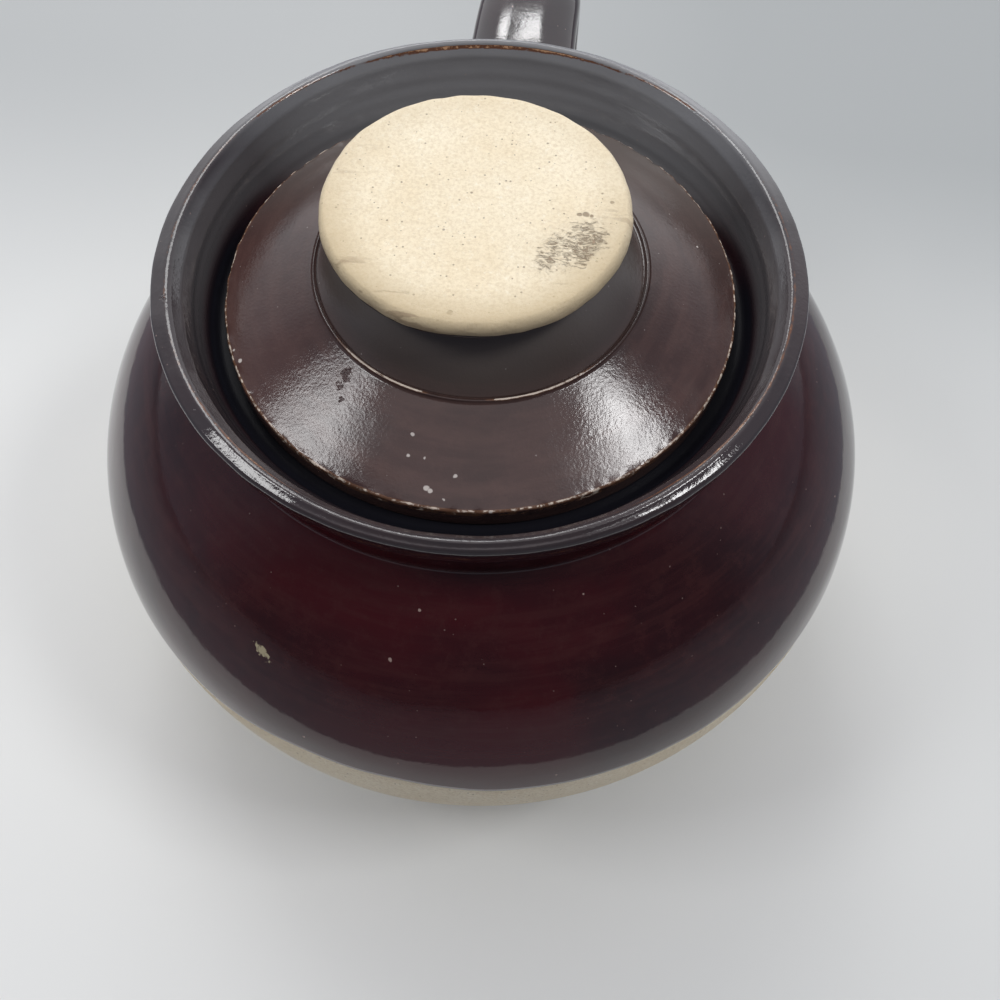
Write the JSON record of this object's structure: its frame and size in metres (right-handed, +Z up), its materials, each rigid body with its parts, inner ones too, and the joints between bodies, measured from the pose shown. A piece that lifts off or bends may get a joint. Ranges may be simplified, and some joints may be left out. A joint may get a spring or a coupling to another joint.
{
  "type": "bean pot",
  "caption": "Squat round stoneware bean pot with a rolled rim, a strap handle at the back, and a loose cone-shaped lid with a flat knob that lies in a ledge inside the rim.",
  "frame": {"origin": "centre of the flat foot, on the pot's turning axis", "axes": "+Z up along the turning axis, +Y towards the handle at the back, +X to the right when the pot is seen from its front, the side away from the handle"},
  "size_m": [0.1804, 0.2022, 0.138],
  "materials": {
    "brown_glaze": "glossy dark red-brown glaze",
    "handle_glaze": "glossy dark red-brown glaze",
    "lid_glaze": "glossy dark red-brown glaze, thin and tan at the edges",
    "bare_clay": "matt bare cream stoneware with fine dark specks"
  },
  "bodies": {
    "pot": {"pot_body": "brown_glaze", "handle": "handle_glaze"},
    "lid": {"lid": "lid_glaze", "lid_knob": "bare_clay"}
  },
  "joints": [
    {"name": "lid_lift", "type": "slide", "parent": "pot", "child": "lid", "axis": [0, 0, 1], "range_m": [0, 0.08]}
  ]
}
